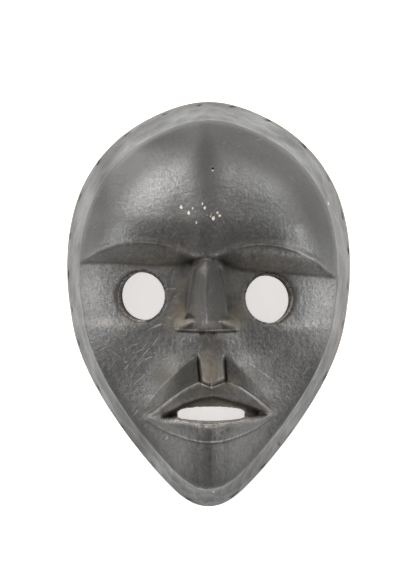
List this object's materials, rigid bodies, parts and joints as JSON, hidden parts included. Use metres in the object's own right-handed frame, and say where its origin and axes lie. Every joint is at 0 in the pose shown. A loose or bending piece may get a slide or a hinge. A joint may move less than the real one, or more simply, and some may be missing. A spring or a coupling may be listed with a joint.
{
  "type": "carved wooden face mask",
  "caption": "Egg-shaped carved wooden face mask with a domed forehead, round eye holes, a slender nose and an open mouth, hollow behind and flat round the rim.",
  "frame": {"origin": "middle of the outline, in the plane of the flat rim that the mask lies on", "axes": "+Y up the face from the chin to the crown, +Z out of the face, +X towards the right of the picture"},
  "size_m": [0.1678, 0.24, 0.087],
  "materials": {
    "wood": "dark patinated wood, satin on the face and duller on the tooled side wall"
  },
  "bodies": {
    "root": {"mask": "wood"}
  },
  "joints": []
}
